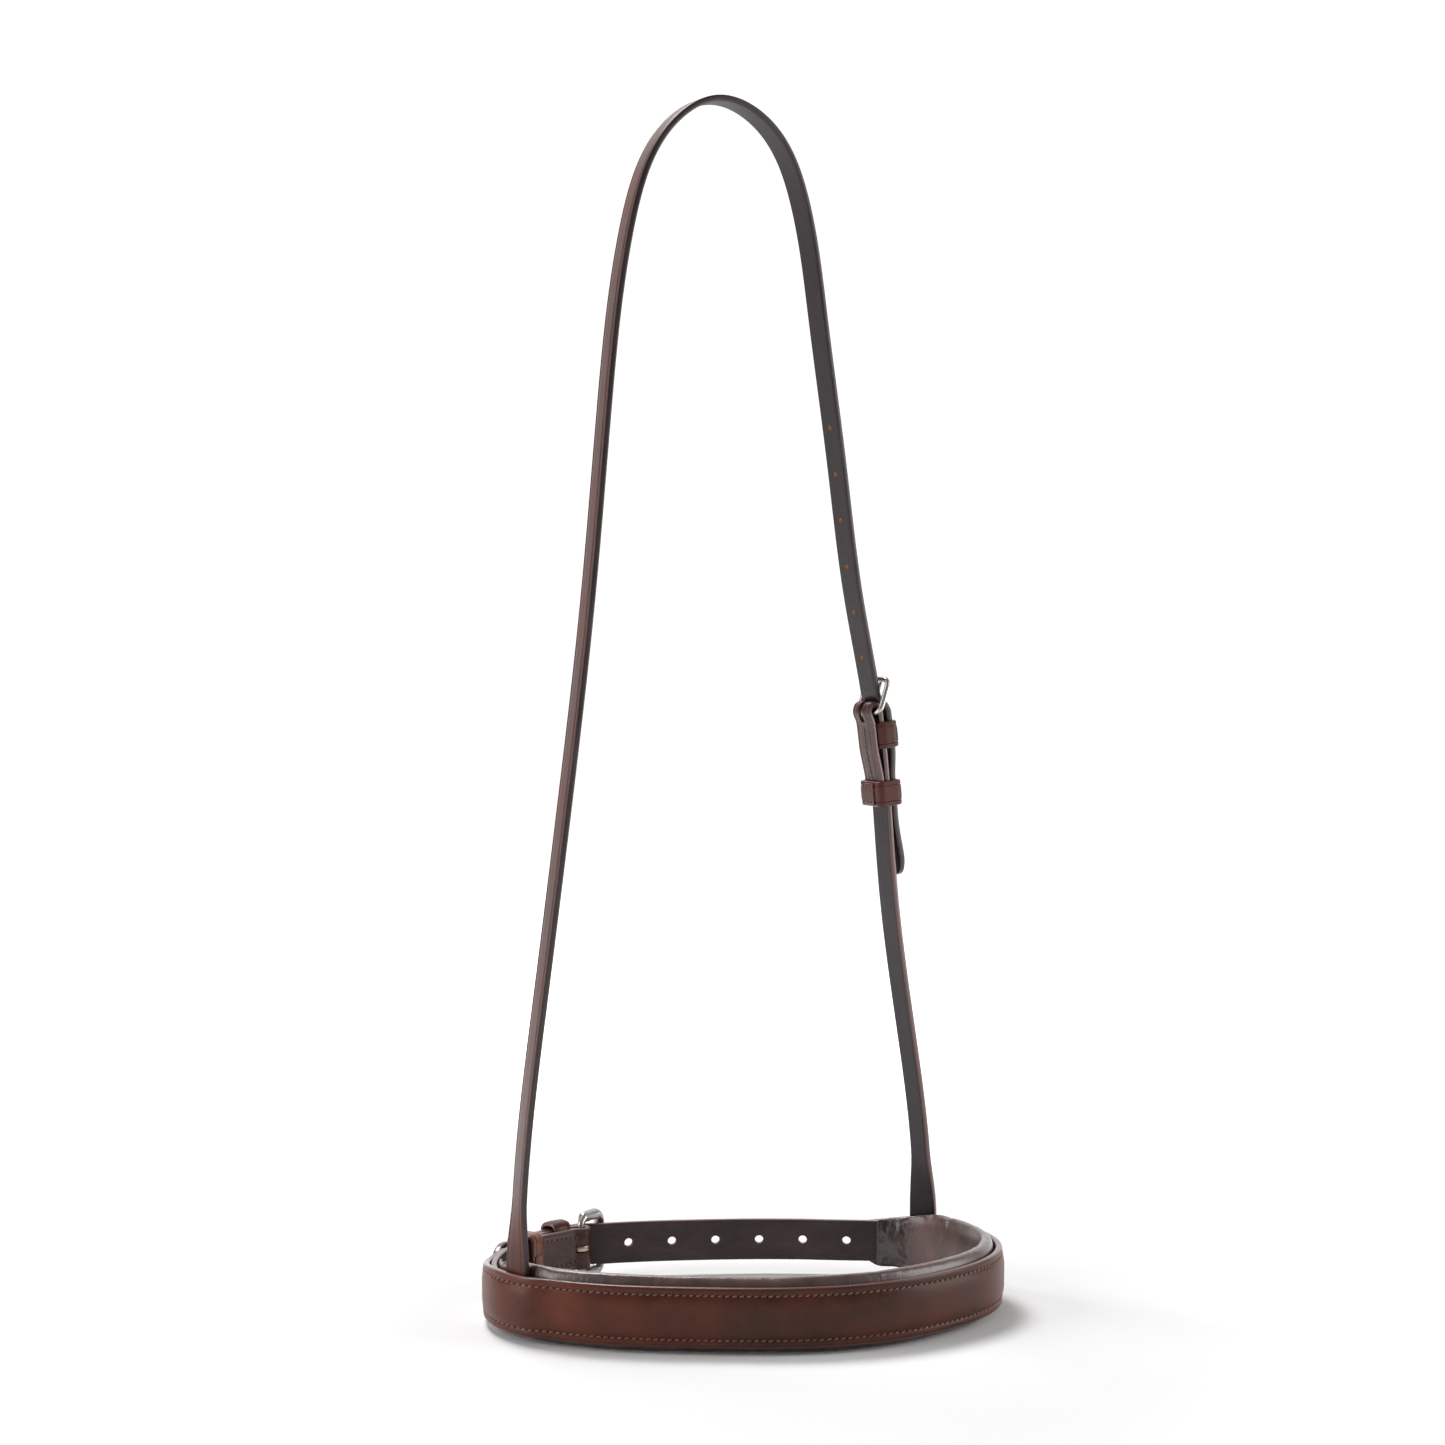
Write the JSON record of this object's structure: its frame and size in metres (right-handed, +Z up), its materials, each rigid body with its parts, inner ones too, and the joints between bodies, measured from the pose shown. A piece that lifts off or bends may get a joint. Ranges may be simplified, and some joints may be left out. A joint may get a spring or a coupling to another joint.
{
  "type": "bridle noseband",
  "caption": "Padded leather noseband on its own head strap: a shaped nosepiece over a soft roll, a chin strap with a tongue buckle and keepers, and a head strap buckled at one cheek.",
  "frame": {"origin": "middle of the crown's inner face, where the head strap lies over the horse's poll and carries the hanging noseband", "axes": "+Z up, along the hanging head strap; -Y out of the front of the nose, so the chin strap lies at +Y; +X towards the cheek that has the head strap's buckle"},
  "size_m": [0.2262, 0.1788, 0.5328],
  "materials": {
    "nosepiece_leather": "glossy waxed strap leather",
    "padding_lining": "soft creased lining leather",
    "padding_foam": "soft filler, hidden inside the lining",
    "head_strap": "glossy waxed strap leather",
    "cheek_strap": "glossy waxed strap leather",
    "cheek_fixed_keeper": "glossy waxed strap leather",
    "cheek_buckle_frame": "polished, silver-coloured",
    "cheek_buckle_tongue": "polished, silver-coloured",
    "cheek_runner": "glossy waxed strap leather",
    "chin_strap": "glossy waxed strap leather",
    "chin_chape": "glossy waxed strap leather",
    "chin_fixed_keeper": "glossy waxed strap leather",
    "chin_buckle_frame": "polished, silver-coloured",
    "chin_buckle_tongue": "polished, silver-coloured",
    "chin_runner": "glossy waxed strap leather"
  },
  "bodies": {
    "straps": {"nosepiece_leather": "nosepiece_leather", "padding_lining": "padding_lining", "padding_foam": "padding_foam", "head_strap": "head_strap", "cheek_strap": "cheek_strap", "cheek_fixed_keeper": "cheek_fixed_keeper", "chin_strap": "chin_strap", "chin_chape": "chin_chape", "chin_fixed_keeper": "chin_fixed_keeper"},
    "cheek_frame": {"cheek_buckle_frame": "cheek_buckle_frame"},
    "cheek_tongue": {"cheek_buckle_tongue": "cheek_buckle_tongue"},
    "cheek_keeper": {"cheek_runner": "cheek_runner"},
    "chin_frame": {"chin_buckle_frame": "chin_buckle_frame"},
    "chin_tongue": {"chin_buckle_tongue": "chin_buckle_tongue"},
    "chin_keeper": {"chin_runner": "chin_runner"}
  },
  "joints": [
    {"name": "cheek_frame_swing", "type": "hinge", "parent": "straps", "child": "cheek_frame", "pos_m": [0.07784, 0.00078, -0.26677], "axis": [-0.01, 1, 0], "range_deg": [-4, 3]},
    {"name": "cheek_tongue_lift", "type": "hinge", "parent": "cheek_frame", "child": "cheek_tongue", "pos_m": [0.07784, 0.00078, -0.26677], "axis": [-0.01, 1, 0], "range_deg": [0, 10]},
    {"name": "cheek_runner_slide", "type": "slide", "parent": "straps", "child": "cheek_keeper", "axis": [0.0901, 0.0009, -0.9959], "range_m": [-0.003, 0.012]},
    {"name": "chin_frame_swing", "type": "hinge", "parent": "straps", "child": "chin_frame", "pos_m": [-0.03236, 0.07263, -0.514], "axis": [0, 0, 1], "range_deg": [-5, 5]},
    {"name": "chin_tongue_lift", "type": "hinge", "parent": "chin_frame", "child": "chin_tongue", "pos_m": [-0.03236, 0.07263, -0.514], "axis": [0, 0, 1], "range_deg": [0, 6]},
    {"name": "chin_runner_slide", "type": "slide", "parent": "straps", "child": "chin_keeper", "axis": [-0.88, -0.475, 0], "range_m": [-0.006, 0.003]}
  ]
}
